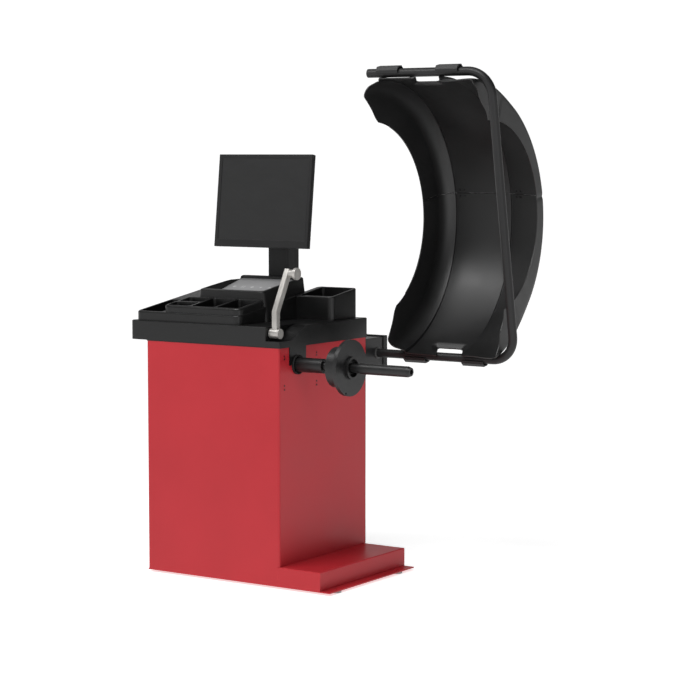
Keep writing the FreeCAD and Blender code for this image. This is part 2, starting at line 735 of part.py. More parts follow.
def wheel_stud():
    """Stud that the wheel, its cone and the quick nut slide onto."""
    root = rod("stud_radius - 2", "boss_rear + 20", "neck_front", AXIS)
    body = rod("stud_radius", "neck_front", "stud_front - 12", AXIS)
    nose = cone("stud_radius", "stud_radius - 4.5", "stud_front - 12", "stud_front", AXIS)
    end = rod("stud_hole", "stud_front - 30", "stud_front + 1", AXIS)
    node("wheel_stud", cut(fuse(root, body, nose), end))


def drive():
    """Belt drive from the motor to the spindle, and the encoder on the spindle."""
    right = "pulley_left + pulley_wide"
    wheel = rod("big_pulley", "pulley_left", right, AXIS)
    bore = rod("shaft_radius", "pulley_left - 1", f"{right} + 1", AXIS)
    dish = cut(rod("big_pulley - 8", "pulley_left - 1", "pulley_left + 6", AXIS),
               rod("22", "pulley_left - 2", "pulley_left + 7", AXIS))
    node("spindle_pulley", cut(wheel, bore, dish))
    nut = rod("16", "pulley_left - 24", "pulley_left - 14", AXIS)
    node("pulley_nut", cut(nut, rod("shaft_radius - 2", "pulley_left - 25", "pulley_left", AXIS)))
    plate = rod("46", "12", "14", AXIS)
    slots = [box(("0", "20"), ("spin_y - 1.5", "spin_y + 1.5"), (f"spin_z + {z}", f"spin_z + {z} + 10"))
             for z in (30, -40)]
    node("encoder_disc", cut(plate, rod("shaft_radius", "0", "20", AXIS), *slots))
    head = box(("2", "24"), ("spin_y - 12", "spin_y + 12"), ("spin_z + 28", "spin_z + 64"))
    gap = box(("10", "16"), ("spin_y - 15", "spin_y + 15"), ("spin_z + 20", "spin_z + 52"))
    stay = box(("18", "cab_right - 16"), ("spin_y - 6", "spin_y + 6"),
               ("spin_z + 52", "spin_z + 58"))
    node("encoder_reader", cut(fuse(head, stay), gap))
    motor_axis = ("spin_y", "motor_z")
    body = rod("motor_radius", "motor_left", "motor_right", motor_axis)
    bell = rod("motor_radius - 10", "motor_left - 8", "motor_left", motor_axis)
    nose = rod("29.8", "motor_right", "cab_right - 6", motor_axis)
    terminal = box(("20", "90"), ("spin_y + 40", "spin_y + 78"), ("motor_z - 28", "motor_z + 28"))
    bearing = rod("7.05", "motor_left - 9", "motor_left + 60", motor_axis)
    node("motor_body", cut(fuse(body, bell, nose, terminal), bearing))
    node("motor_shaft", rod("7", "pulley_left - 4", "motor_left + 59", motor_axis))
    small = rod("small_pulley", "pulley_left", right, motor_axis)
    node("motor_pulley",
         cut(small, rod("7", "pulley_left - 1", f"{right} + 1", motor_axis)))


def belt_outline(extra):
    """The loop round both pulleys, as far from them as extra says."""
    big = size("big_pulley") + extra
    small = size("small_pulley") + extra
    high = size("spin_z")
    low = size("motor_z")
    lean = math.asin((big - small) / (high - low))
    x = size("pulley_left") + 3
    y = size("spin_y")

    def rim(radius, z, angle):
        return vector(x, y + radius * math.cos(angle), z + radius * math.sin(angle))

    upper = Part.Arc(rim(big, high, -lean), rim(big, high, math.pi / 2),
                     rim(big, high, math.pi + lean)).toShape()
    lower = Part.Arc(rim(small, low, math.pi + lean), rim(small, low, -math.pi / 2),
                     rim(small, low, -lean)).toShape()
    left = Part.makeLine(rim(big, high, math.pi + lean), rim(small, low, math.pi + lean))
    right = Part.makeLine(rim(small, low, -lean), rim(big, high, -lean))
    return Part.Face(Part.Wire([upper, left, lower, right]))


def drive_belt():
    """Flat ribbed belt, one closed band clear of both pulleys."""
    gap = size("belt_gap")
    face = belt_outline(gap + size("belt_thick")).cut(belt_outline(gap))
    node("drive_belt", made(face.extrude(vector(size("pulley_wide") - 6, 0, 0))))


# ------------------------------------------------------------------------ rim gauge

ROD = ("rod_y", "rod_z")


def gauge_guides():
    """Two bushed blocks on the deck for the gauge rod."""
    blocks = []
    for start in ("55", "-40"):
        block = box((start, f"{start} + 26"), ("rod_y - 20", "rod_y + 20"),
                    ("cab_top + deck_thick", "rod_z + 15"))
        blocks.append(cut(block, rod("rod_radius + 0.05", f"{start} - 1", f"{start} + 27", ROD)))
    node("gauge_bushes", group(*blocks))


def gauge_collar():
    """Carriage on the rod's inner end; its fork runs on the rail and keeps it upright."""
    body = box(("rod_left + 4", "rod_left + 34"), ("rod_y - 14", "rod_y + 40"),
               ("rod_z - 14", "rod_z + 14"))
    bore = rod("rod_radius + 0.05", "rod_left", "rod_left + 40", ROD)
    fork = box(("rod_left", "rod_left + 40"), ("rod_y + 21.7", "rod_y + 32.3"),
               ("rod_z - 5.3", "rod_z + 5.3"))
    node("gauge_carriage", cut(body, bore, fork))
    clips = []
    for start in ("rod_left", "rod_left + 34.2"):
        ring = rod("rod_radius + 4", start, f"{start} + 3.8", ROD)
        clips.append(cut(ring, rod("rod_radius", f"{start} - 1", f"{start} + 5", ROD)))
    node("rod_collars", group(*clips))


def gauge_rail():
    """Square rail beside the rod, on a foot at each end, with the distance sensor."""
    rail = box(("rod_left - 30", "-40"), ("rod_y + 22", "rod_y + 32"), ("rod_z - 5", "rod_z + 5"))
    feet = [box((start, f"{start} + 8"), ("rod_y + 20.5", "rod_y + 36"),
                ("cab_top + deck_thick", "rod_z + 8")) for start in ("rod_left - 38", "-41")]
    node("gauge_rail", fuse(rail, *feet))
    case = box(("rod_left - 66", "rod_left - 39"), ("rod_y - 20", "rod_y + 30"),
               ("cab_top + deck_thick", "rod_z + 14"))
    node("distance_sensor", case)


def gauge_rod():
    """Rod that slides out and turns with the arm."""
    node("gauge_rod", rod("rod_radius", "rod_left", "gauge_x + 4", ROD))


def arm_outline(half):
    """Side view of the arm: upright at the hub, then leaning back to the tip."""
    foot = (size("rod_y"), size("rod_z"))
    bend = (size("rod_y"), size("bend_z"))
    tip = (size("tip_y"), size("tip_z"))
    lean = math.atan2(tip[0] - bend[0], tip[1] - bend[1])
    miter = half * math.tan(lean / 2)
    across = (half * math.cos(lean), -half * math.sin(lean))
    left = size("gauge_x") - size("arm_wide") / 2
    corners = [
        (foot[0] - half, foot[1]), (bend[0] - half, bend[1] + miter),
        (tip[0] - across[0], tip[1] - across[1]), (tip[0] + across[0], tip[1] + across[1]),
        (bend[0] + half, bend[1] - miter), (foot[0] + half, foot[1]),
    ]
    points = [vector(left, y, z) for y, z in corners]
    return Part.Face(Part.makePolygon(points + points[:1]))


def gauge_arm():
    """Cast arm with its hub on the rod."""
    bar = arm_outline(size("arm_deep") / 2).extrude(vector(size("arm_wide"), 0, 0))
    long_edges = [edge for edge in bar.Edges if edge.BoundBox.XLength < 1
                  and edge.Length > 40]
    bar = bar.makeFillet(4, long_edges)
    start = size("gauge_x") - size("hub_wide") / 2
    hub = Part.makeCylinder(size("hub_radius"), size("hub_wide"),
                            vector(start, size("rod_y"), size("rod_z")), vector(1, 0, 0))
    bore = Part.makeCylinder(size("rod_radius"), size("hub_wide") / 2 + 4,
                             vector(start, size("rod_y"), size("rod_z")), vector(1, 0, 0))
    node("gauge_arm", made(bar.fuse(hub).cut(bore).removeSplitter()))


def gauge_head():
    """Turned head at the tip: a stub and the disc that feels the rim."""
    at = ("tip_y - 4", "tip_z - 12")
    right = "gauge_x + arm_wide / 2"
    stub = rod("14.5", right, f"{right} + 30", at)
    disc = rod("21.5", f"{right} + 22", f"{right} + 32", at)
    recess = rod("4", f"{right} + 31", f"{right} + 40", at)
    node("gauge_head", cut(fuse(stub, disc), recess))


# ------------------------------------------------------------------------ wheel hood
# The hood is drawn about its own centre line: local Y points through its middle, local Z
# along the chord between the tube's legs. Closed, that centre line is the spindle.

HALF_SPAN = "leg_span / 2"
LEG_Y = "sqrt(pivot_reach ^ 2 - (leg_span / 2) ^ 2)"
HOOD_CENTRE = (
    "0",
    f"pivot_y - leg_span / 2 * sin(hood_lean) - {LEG_Y} * cos(hood_lean)",
    f"pivot_z + leg_span / 2 * cos(hood_lean) - {LEG_Y} * sin(hood_lean)",
)


# Hand openings in the hood's ends, as x and y in the hood's own lines.
GRIP_UPPER = [(384, 187), (478, 187), (580, 36), (580, 0), (458, 0), (458, 36)]
GRIP_LOWER = [(412, 117), (518, 117), (568, 36), (568, 0), (448, 0), (448, 36)]

# Section of a tube clamp about the tube's centre: across it, and outwards from the hood.
CLAMP_OUTLINE = [(-22, 3), (-22, 13), (-12, 25), (12, 25), (22, 13), (22, 3)]


def hooded(label, shape):
    """Set a piece of the hood, drawn about the centre line, in its open position."""
    obj = group(shape)
    obj.Placement = FreeCAD.Placement(
        vector(0, 0, 0), FreeCAD.Rotation(vector(1, 0, 0), size("hood_lean")))
    place(obj, HOOD_CENTRE)
    node(label, obj)


def bend(radius, side):
    """A quarter of a ring at one corner of the tube."""
    ring = doc.addObject("Part::Torus", "Bend")
    bind(ring, "Radius1", "tube_bend")
    bind(ring, "Radius2", radius)
    ring.Angle3 = 90
    turn = FreeCAD.Rotation(vector(1, 0, 0), 90) if side > 0 else FreeCAD.Rotation(
        vector(1, 0, 0), -90)
    ring.Placement = FreeCAD.Placement(vector(0, 0, 0), turn)
    place(ring, ("tube_corner - tube_bend", LEG_Y, f"{side} * (leg_span / 2 - tube_bend)"))
    return ring


def tube_run(radius, foot, head):
    """The U of the tube at one radius: two legs, two bends and the upright."""
    turned = "tube_corner - tube_bend"
    upright = f"{HALF_SPAN} - tube_bend"
    return fuse(
        rod(radius, foot, turned, (LEG_Y, f"-{HALF_SPAN}")),
        rod(radius, head, turned, (LEG_Y, HALF_SPAN)),
        rod(radius, f"-({upright})", upright, ("tube_corner", LEG_Y), "Z"),
        bend(radius, 1),
        bend(radius, -1),
    )


def hood_tube():
    """Bent steel tube: the lower leg is the hinge shaft, the upper leg the top rail."""
    inner = "tube_radius - tube_wall"
    hooded("hood_tube", cut(tube_run("tube_radius", "tube_foot", "tube_head"),
                            tube_run(inner, "tube_foot - 5", "tube_head - 5")))
    at = (LEG_Y, HALF_SPAN)
    hooded("tube_plug", fuse(rod("tube_radius", "tube_head - 5", "tube_head", at),
                             rod("tube_radius - tube_wall", "tube_head - 1", "tube_head + 20", at)))
    low = (LEG_Y, f"-{HALF_SPAN}")
    collar = cut(rod("26", "bracket_left + 30", "bracket_left + 50", low),
                 rod("tube_radius", "bracket_left + 29", "bracket_left + 51", low))
    hooded("stop_collar", collar)


def hood_section():
    """Section of the skin in X and radius: deep left wall, flat middle, tapered right."""
    radius = size("hood_radius")
    left = size("hood_left")
    right = size("hood_right")
    drop = radius - size("rim_drop")

    def at(x, r):
        return vector(x, r, 0)

    shoulder = Part.Arc(at(left + 9, radius - 64), at(left + 24, radius - 21),
                        at(size("crease_left"), radius)).toShape()
    corner = Part.Arc(at(right - 9, drop), at(right - 2, drop - 4),
                      at(right, drop - 12)).toShape()
    path = Part.Wire([
        Part.makeLine(at(left, 250), at(left + 9, radius - 64)),
        shoulder,
        Part.makeLine(at(size("crease_left"), radius), at(size("crease_right"), radius)),
        Part.makeLine(at(size("crease_right"), radius), at(right - 9, drop)),
        corner,
        Part.makeLine(at(right, drop - 12), at(right, 250)),
    ])
    band = path.makeOffset2D(size("hood_skin"), 0, True, True)
    if band.BoundBox.YMax < radius + 1:
        band = path.makeOffset2D(-size("hood_skin"), 0, True, True)
    return band


def wall_cutter(start, end, reach, centre_y, horn):
    """What one side wall leaves open: a round bay between two blunt horns."""
    foot_y, foot_z, tip_y, tip_z, top_y = horn
    far = -700
    top = size("hood_radius") + 40

    def at(y, z):
        return vector(start, y, z)

    bay = Part.Arc(at(foot_y, -foot_z), at(centre_y + reach, 0), at(foot_y, foot_z)).toShape()
    corner = size("hood_radius") - 4
    high = Part.Arc(at(tip_y, tip_z), at(tip_y + 9, tip_z + 33), at(top_y, corner)).toShape()
    low = Part.Arc(at(top_y, -corner), at(tip_y + 9, -tip_z - 33), at(tip_y, -tip_z)).toShape()
    outline = Part.Wire([
        bay,
        Part.makeLine(at(foot_y, foot_z), at(tip_y, tip_z)),
        high,
        Part.makeLine(at(top_y, corner), at(top_y, top)),
        Part.makeLine(at(top_y, top), at(far, top)),
        Part.makeLine(at(far, top), at(far, -top)),
        Part.makeLine(at(far, -top), at(top_y, -top)),
        Part.makeLine(at(top_y, -top), at(top_y, -corner)),
        low,
        Part.makeLine(at(tip_y, -tip_z), at(foot_y, -foot_z)),
    ])
    return Part.Face(outline).extrude(vector(end - start, 0, 0))


def seam_groups():
    """The two screw groups of the seam: x, the skin's radius there and its slope."""
    slope = math.degrees(math.atan2(size("rim_drop"), size("hood_right") - 9 - size("crease_right")))
    flat = size("hood_radius")
    x = 592
    drop = (x - size("crease_right")) * math.tan(math.radians(slope))
    return [(345, flat, 0), (x, flat - drop, slope)]


def seam_normal(slope):
    """Outward direction of the skin where it slopes."""
    lean = math.radians(slope)
    return vector(math.sin(lean), math.cos(lean), 0)


def seam_sites():
    """The eight screw places of the seam."""
    sites = []
    for x, radius, slope in seam_groups():
        for step in (-10, 10):
            drop = step * math.sin(math.radians(slope))
            along = step * math.cos(math.radians(slope))
            sites += [(x + along, radius - drop, z, slope) for z in (-11, 11)]
    return sites


def seam_pin(x, radius, z, slope, thick, start, end):
    """A round pin square to the skin, from start to end measured outwards."""
    out = seam_normal(slope)
    return Part.makeCylinder(thick, end - start, vector(x, radius, z) + out * start, out)


def hood_cutters():
    """Everything taken out of the full ring of the hood's section."""
    foot = size("left_cut") * math.cos(math.radians(77))
    foot_z = size("left_cut") * math.sin(math.radians(77))
    left = wall_cutter(size("hood_left") - 20, size("crease_left") - 10, size("left_cut"), 0,
                       (foot, foot_z, 17, 442, 60))
    rise_z = math.sqrt(size("right_cut") ** 2 - 42 ** 2)
    right = wall_cutter(size("hood_right") - 22, size("hood_right") + 20, size("right_cut"),
                        size("right_cut_y"), (size("right_cut_y") + 42, rise_z, 62, 438, 52))
    start = size("crease_left") - 10.001
    middle = Part.makeBox(size("hood_right") - 22 - start + 0.002, 700, 1400,
                          vector(start, -647, -700))
    deep = size("grip_deep")
    grips = [grip_block(GRIP_UPPER, size("grip_base"), deep),
             grip_block(GRIP_LOWER, -size("grip_base") - deep, deep)]
    return [left, right, middle] + grips + [seam_pin(*site, 3, -9, 20) for site in seam_sites()]


def grip_block(outline, low, deep):
    """A hand opening's outline, taken through the end of the skin along the hood's chord."""
    points = [vector(x, y, low) for x, y in outline]
    face = Part.Face(Part.makePolygon(points + points[:1]))
    return face.extrude(vector(0, 0, deep))


def hood_shells():
    """The two halves of the hood, which meet across its middle."""
    turned = hood_section()
    turned.rotate(vector(0, 0, 0), vector(1, 0, 0), -95)
    ring = turned.revolve(vector(0, 0, 0), vector(1, 0, 0), 190)
    skin = ring.cut(hood_cutters())
    for label, low in (("hood_upper", 0), ("hood_lower", -900)):
        side = Part.makeBox(1200, 1800, 900, vector(0, -900, low))
        hooded(label, made(skin.common(side)))


def hood_hardware():
    """Joint plates and screws across the seam, tube clamps and their bolts."""
    plates = []
    for x, radius, slope in seam_groups():
        out = seam_normal(slope)
        plate = Part.makeBox(44, 3, 52, vector(-22, 0, -26))
        plate.rotate(vector(0, 0, 0), vector(0, 0, 1), -slope)
        plate.translate(vector(x, radius, 0) + out * (size("hood_skin") + 0.6))
        plates.append(plate.cut([seam_pin(*site, 2.6, -5, 20) for site in seam_sites()]))
    hooded("joint_plates", made(Part.Compound(plates)))
    screws = []
    for site in seam_sites():
        head = seam_pin(*site, 4.5, -3.2, -0.2)
        socket = seam_pin(*site, 2, -3.3, -1.5)
        screws.append(head.cut(socket).fuse(seam_pin(*site, 2.5, -1, size("hood_skin") + 7)))
    hooded("joint_screws", made(Part.Compound(screws)))
    hooded("tube_clamps", group(*[clamp(x, side) for x in (345, 591) for side in (1, -1)]))


def clamp(x, side):
    """Moulded saddle over the outer side of one leg, with a foot each side of the tube."""
    radius = size("tube_radius")
    span = size("leg_span") / 2
    start = x - size("clamp_long") / 2
    centre = (math.sqrt(size("pivot_reach") ** 2 - span ** 2), side * span)
    outline = [(centre[0] + across, centre[1] + side * out) for across, out in CLAMP_OUTLINE]
    saddle = profile((start, start + size("clamp_long")), outline)
    along = vector(1, 0, 0)
    bore = Part.makeCylinder(radius, size("clamp_long") + 2, vector(start - 1, *centre), along)
    saddle = saddle.cut(bore)
    for end in (start, start + size("clamp_long") - size("clamp_recess")):
        mouth = Part.makeCylinder(radius + size("clamp_lip"), size("clamp_recess"), vector(end, *centre), along)
        saddle = saddle.cut(mouth)
    return made(saddle)


def hood_bracket():
    """Welded box behind the cabinet that holds the hood's hinge, and its rear cap."""
    half = "bracket_high / 2"
    z = (f"pivot_z - {half}", f"pivot_z + {half}")
    outside = box(("bracket_left", "cab_right"), ("cab_back", "bracket_back"), z)
    inside = box(("bracket_left + plate", "cab_right - plate"), ("cab_back + plate", "bracket_back + 1"),
                 (f"{z[0]} + plate", f"{z[1]} - plate"))
    at = ("pivot_y", "pivot_z")
    bore = rod("bush_radius - 2", "bracket_left - 5", "cab_right + 5", at)
    lug = box(("bracket_left + 30", "bracket_left + 50"), ("cab_back", "cab_back + 14"),
              ("pivot_z - 14", "pivot_z + 14"))
    node("hood_bracket", cut(fuse(cut(outside, inside), lug), bore))
    cap = box(("bracket_left - 3", "cab_right + 3"), ("bracket_back + 0.2", "cap_back"),
              (f"{z[0]} - 3", f"{z[1]} + 4"))
    hollow = box(("bracket_left + 1", "cab_right - 1"), ("bracket_back", "cap_back - 3"),
                 (f"{z[0]} + 1", f"{z[1]} - 1"))
    node("bracket_cap", cut(cap, hollow))
    bushes = []
    for start, flange in (("bracket_left", "bracket_left - 4"), ("cab_right - plate", "cab_right")):
        sleeve = rod("bush_radius - 2", start, f"{start} + plate", at)
        collar = rod("bush_radius", flange, f"{flange} + 4", at)
        hole = rod("tube_radius + 0.05", f"{start} - 9", f"{start} + 19", at)
        bushes.append(cut(fuse(sleeve, collar), hole))
    node("hinge_bushes", group(*bushes))


# ------------------------------------------------------------------------ electrics

def electrics():
    """Boards in the cabinet, and the inlet and switch on the rear cover."""
    board = box(("cab_left + sheet", "cab_left + 32"), ("-130", "90"), ("440", "680"))
    node("control_box", board)
    supply = box(("-330", "-180"), ("80", "180"), (PLATE_TOP, "pad_high + plate + 60"))
    node("power_supply", supply)
    back = "cab_back"
    flange = box(("-380", "-320"), (back, f"{back} + 2.5"), ("176", "226"))
    body = box(("-375.5", "-324.5"), (f"{back} - 24", f"{back} + 1"), ("180.5", "221.5"))
    socket = box(("-362", "-338"), (f"{back} - 18", f"{back} + 3"), ("193", "209"))
    node("power_inlet", cut(fuse(flange, body), socket))
    case = box(("-368", "-332"), (back, f"{back} + 2.5"), ("243", "277"))
    inner = box(("-364", "-336"), (f"{back} - 22", f"{back} + 1"), ("247", "273"))
    well = box(("-360", "-340"), (f"{back} - 14", f"{back} + 3"), ("249.5", "270.5"))
    node("switch_case", cut(fuse(case, inner), well))
    rocker = rod("10", "-359.5", "-340.5", (f"{back} - 3", "260"))
    trim = box(("-361", "-339"), (f"{back} - 30", f"{back} - 9"), ("245", "275"))
    node("power_rocker", cut(rocker, trim))


# ------------------------------------------------------------------------ the whole

def build():
    for make in (base_frame, floor_pads, cabinet_shell, side_screws, top_deck,
                 rear_crossmember, rear_cover, cover_screws, top_cover, weights_tray, keypad,
                 display_column, column_cover, monitor_mount, screen, spindle_housing,
                 bearings, measuring_frame, sensors, seal_ring, spindle_shaft, wheel_flange,
                 wheel_stud, drive, drive_belt, gauge_guides, gauge_collar, gauge_rail,
                 gauge_rod, gauge_arm, gauge_head, hood_tube, hood_shells, hood_hardware,
                 hood_bracket, electrics):
        make()


def check():
    """Stop on any failed object or unusable sub-part."""
    for obj in doc.Objects:
        bad = [state for state in obj.State if state in ("Invalid", "Error")]
        if bad:
            raise RuntimeError(f"{obj.Name} ({obj.Label}) is {bad}")
    for obj in PARTS:
        shape = obj.Shape
        if shape.isNull() or not shape.isValid() or not shape.Solids:
            raise RuntimeError(f"{obj.Label} has no valid solid")


def export():
    os.makedirs("parts", exist_ok=True)
    for obj in PARTS:
        obj.Shape.exportStep(f"parts/{obj.Label}.step")
        print(obj.Label, len(obj.Shape.Solids), round(obj.Shape.Volume / 1000, 1), "cm3")


build()
doc.recompute()
check()
export()
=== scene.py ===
"""Looks for the wheel balancer: materials, moulded detail, studio and camera."""
import json
import math

import bmesh
import bpy
from mathutils import Matrix, Vector


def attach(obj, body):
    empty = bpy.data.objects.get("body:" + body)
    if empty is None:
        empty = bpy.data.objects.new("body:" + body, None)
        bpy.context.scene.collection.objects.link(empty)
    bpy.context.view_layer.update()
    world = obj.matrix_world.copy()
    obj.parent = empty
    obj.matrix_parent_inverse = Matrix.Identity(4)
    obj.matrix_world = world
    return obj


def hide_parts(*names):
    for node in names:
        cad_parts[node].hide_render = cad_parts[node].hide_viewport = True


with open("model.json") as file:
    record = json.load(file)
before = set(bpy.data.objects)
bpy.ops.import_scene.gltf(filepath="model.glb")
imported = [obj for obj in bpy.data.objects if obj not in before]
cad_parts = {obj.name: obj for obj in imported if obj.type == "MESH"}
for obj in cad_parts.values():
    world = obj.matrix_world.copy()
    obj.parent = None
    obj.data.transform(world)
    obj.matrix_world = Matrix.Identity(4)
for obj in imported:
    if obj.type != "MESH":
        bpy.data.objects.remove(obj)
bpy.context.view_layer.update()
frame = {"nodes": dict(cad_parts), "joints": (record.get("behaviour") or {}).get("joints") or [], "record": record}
NODES = frame["nodes"]

# ------------------------------------------------------------------ material toolkit


class Shader:
    """One node material, built a step at a time round a Principled shader."""

    def __init__(self, name):
        self.material = bpy.data.materials.new(name)
        self.material.use_nodes = True
        self.tree = self.material.node_tree
        self.main = self.tree.nodes["Principled BSDF"]
        self.place = self.node("ShaderNodeTexCoord").outputs["Object"]

    def node(self, kind, **settings):
        made = self.tree.nodes.new(kind)
        for key, value in settings.items():
            setattr(made, key, value)
        return made

    def link(self, source, socket):
        self.tree.links.new(source, socket)

    def fixed(self, **values):
        """Uniform values, set on the shader's own sockets."""
        for key, value in values.items():
            self.main.inputs[key.replace("_", " ")].default_value = value

    def noise(self, scale, detail=3.0, rough=0.55, stretch=None, distort=0.0):
        made = self.node("ShaderNodeTexNoise")
        made.inputs["Scale"].default_value = scale
        made.inputs["Detail"].default_value = detail
        made.inputs["Roughness"].default_value = rough
        made.inputs["Distortion"].default_value = distort
        self.link(self.stretched(stretch), made.inputs["Vector"])
        return made.outputs["Fac"]

    def stretched(self, stretch):
        if stretch is None:
            return self.place
        mapping = self.node("ShaderNodeMapping")
        mapping.inputs["Scale"].default_value = stretch
        self.link(self.place, mapping.inputs["Vector"])
        return mapping.outputs["Vector"]

    def voronoi(self, scale):
        made = self.node("ShaderNodeTexVoronoi")
        made.inputs["Scale"].default_value = scale
        self.link(self.place, made.inputs["Vector"])
        return made.outputs["Distance"]

    def spread(self, source, low, high, start=0.0, end=1.0):
        """source, from start to end, drawn out to low to high."""
        made = self.node("ShaderNodeMapRange")
        made.inputs["From Min"].default_value = start
        made.inputs["From Max"].default_value = end
        made.inputs["To Min"].default_value = low
        made.inputs["To Max"].default_value = high
        self.link(source, made.inputs["Value"])
        return made.outputs["Result"]

    def math(self, kind, a, b):
        made = self.node("ShaderNodeMath", operation=kind)
        for socket, value in zip(made.inputs, (a, b)):
            if isinstance(value, (int, float)):
                socket.default_value = value
            else:
                self.link(value, socket)
        return made.outputs["Value"]

    def mix(self, factor, first, second):
        """first at a factor of 0, second at 1; either may be a colour or another node."""
        made = self.node("ShaderNodeMix", data_type="RGBA")
        for name, value in (("Factor_Float", factor), ("A_Color", first), ("B_Color", second)):
            socket = next(s for s in made.inputs if s.identifier == name)
            if isinstance(value, (int, float)):
                socket.default_value = value
            elif isinstance(value, tuple):
                socket.default_value = (*value, 1)
            else:
                self.link(value, socket)
        return next(s for s in made.outputs if s.identifier == "Result_Color")

    def edges(self, reach=0.0015):
        """1 on sharp convex edges, 0 on flats, from the bevelled normal."""
        bevel = self.node("ShaderNodeBevel", samples=6)
        bevel.inputs["Radius"].default_value = reach
        geometry = self.node("ShaderNodeNewGeometry")
        dot = self.node("ShaderNodeVectorMath", operation="DOT_PRODUCT")
        self.link(bevel.outputs["Normal"], dot.inputs[0])
        self.link(geometry.outputs["Normal"], dot.inputs[1])
        return self.spread(dot.outputs["Value"], 1.0, 0.0, 0.86, 0.995)

    def colour(self, source):
        self.link(source, self.main.inputs["Base Color"])

    def rough(self, source):
        self.link(source, self.main.inputs["Roughness"])

    def bump(self, *layers):
        """Stacked bumps, each (height, strength, distance)."""
        normal = None
        for height, strength, distance in layers:
            made = self.node("ShaderNodeBump")
            made.inputs["Strength"].default_value = strength
            made.inputs["Distance"].default_value = distance
            self.link(height, made.inputs["Height"])
            if normal is not None:
                self.link(normal, made.inputs["Normal"])
            normal = made.outputs["Normal"]
        self.link(normal, self.main.inputs["Normal"])


def powder_coat(name, base, light, rough, peel=0.25, gloss=0.5):
    """Baked powder coat: fine orange peel, faint clouding, edges lighter in patches, partly rubbed wear and partly
    a painted highlight.
    """
    s = Shader(name)
    cloud = s.noise(3.2, 4, 0.6)
    fine = s.noise(420, 2, 0.5)
    tone = s.mix(s.spread(cloud, 0, 1, 0.3, 0.7), base, light)
    # Edges lighter in patches: rubbed wear and a painted highlight along the edges.
    scuffs_and_highlight = s.math("MULTIPLY", s.edges(), s.spread(s.noise(60, 4, 0.7), 0, 1, 0.52, 0.68))
    worn_and_lit = tuple(min(1, c * 1.5 + 0.03) for c in light)
    s.colour(s.mix(s.math("MULTIPLY", scuffs_and_highlight, 0.55), tone, worn_and_lit))
    s.rough(s.spread(s.math("ADD", s.math("MULTIPLY", cloud, 0.7), s.math("MULTIPLY", fine, 0.3)),
                     rough - 0.07, rough + 0.09, 0.3, 0.7))
    s.bump((s.noise(380, 2, 0.4), peel, 0.0004), (s.noise(9, 2, 0.5), 0.06, 0.002))
    s.fixed(IOR=1.5, Specular_IOR_Level=gloss, Coat_Weight=0.1 * gloss, Coat_Roughness=0.3)
    return s.material


def cast_metal(name, base, light, rough):
    """Silver paint over a casting: metal flake with a fine skin, and edges lighter, partly rubbed paint and partly
    a painted highlight.
    """
    s = Shader(name)
    cloud = s.noise(14, 4, 0.6)
    tone = s.mix(s.spread(cloud, 0, 1, 0.3, 0.7), base, light)
    # Edges mixed towards bright silver: rubbed paint and a painted highlight.
    s.colour(s.mix(s.math("MULTIPLY", s.edges(0.0015), 0.5), tone, (0.72, 0.70, 0.67)))
    s.rough(s.spread(s.noise(60, 3, 0.6), rough - 0.07, rough + 0.09, 0.3, 0.7))
    s.bump((s.noise(600, 2, 0.5), 0.2, 0.0003), (s.noise(40, 2, 0.5), 0.1, 0.001))
    s.fixed(Metallic=0.7, IOR=1.5, Specular_IOR_Level=0.5)
    return s.material


def moulded(name, base, light, rough, grain=0.35, cell=900, gloss=0.3):
    """Moulded black plastic: leathery grain, faint clouding, edges painted lighter as a highlight and rubbed
    smoother.
    """
    s = Shader(name)
    cloud = s.noise(5, 4, 0.6)
    tone = s.mix(s.spread(cloud, 0, 1, 0.35, 0.68), base, light)
    # Edges lighter in colour, a painted highlight, and made a little smoother.
    rubbed_and_highlight = s.math("MULTIPLY", s.edges(0.002), 0.35)
    s.colour(s.mix(rubbed_and_highlight, tone, tuple(c * 1.7 for c in light)))
    s.rough(s.math("SUBTRACT", s.spread(cloud, rough - 0.05, rough + 0.07, 0.3, 0.7),
                   s.math("MULTIPLY", rubbed_and_highlight, 0.2)))
    s.bump((s.voronoi(cell), grain, 0.0003), (s.noise(26, 3, 0.5), 0.08, 0.001))
    s.fixed(IOR=1.5, Specular_IOR_Level=gloss)
    return s.material


def turned(name, base, light, rough, axis_y, axis_z, lines=2600, metal=1.0, wear_and_highlight=0.5):
    """Turned metal: fine tool marks along the axis and rings on the faces."""
    s = Shader(name)
    split = s.node("ShaderNodeSeparateXYZ")
    s.link(s.place, split.inputs["Vector"])
    y = s.math("SUBTRACT", split.outputs["Y"], axis_y)
    z = s.math("SUBTRACT", split.outputs["Z"], axis_z)
    radius = s.math("SQRT", s.math("ADD", s.math("MULTIPLY", y, y), s.math("MULTIPLY", z, z)), 0)
    join = s.node("ShaderNodeCombineXYZ")
    s.link(split.outputs["X"], join.inputs["X"])
    s.link(radius, join.inputs["Y"])
    marks = s.node("ShaderNodeTexNoise")
    marks.inputs["Scale"].default_value = lines
    marks.inputs["Detail"].default_value = 2
    s.link(join.outputs["Vector"], marks.inputs["Vector"])
    cloud = s.noise(24, 4, 0.6)
    tone = s.mix(s.spread(cloud, 0, 1, 0.35, 0.65), base, light)
    # Edges lighter in colour: rubbed wear and a painted highlight.
    rubbed_and_highlight = s.math("MULTIPLY", s.edges(0.0012), wear_and_highlight)
    s.colour(s.mix(rubbed_and_highlight, tone, tuple(min(1, c * 1.6 + 0.02) for c in light)))
    grain = s.math("ADD", s.math("MULTIPLY", marks.outputs["Fac"], 0.5),
                   s.math("MULTIPLY", cloud, 0.5))
    s.rough(s.spread(grain, rough - 0.08, rough + 0.1, 0.35, 0.65))
    s.bump((marks.outputs["Fac"], 0.18, 0.0002))
    s.fixed(Metallic=metal, IOR=1.5)
    return s.material


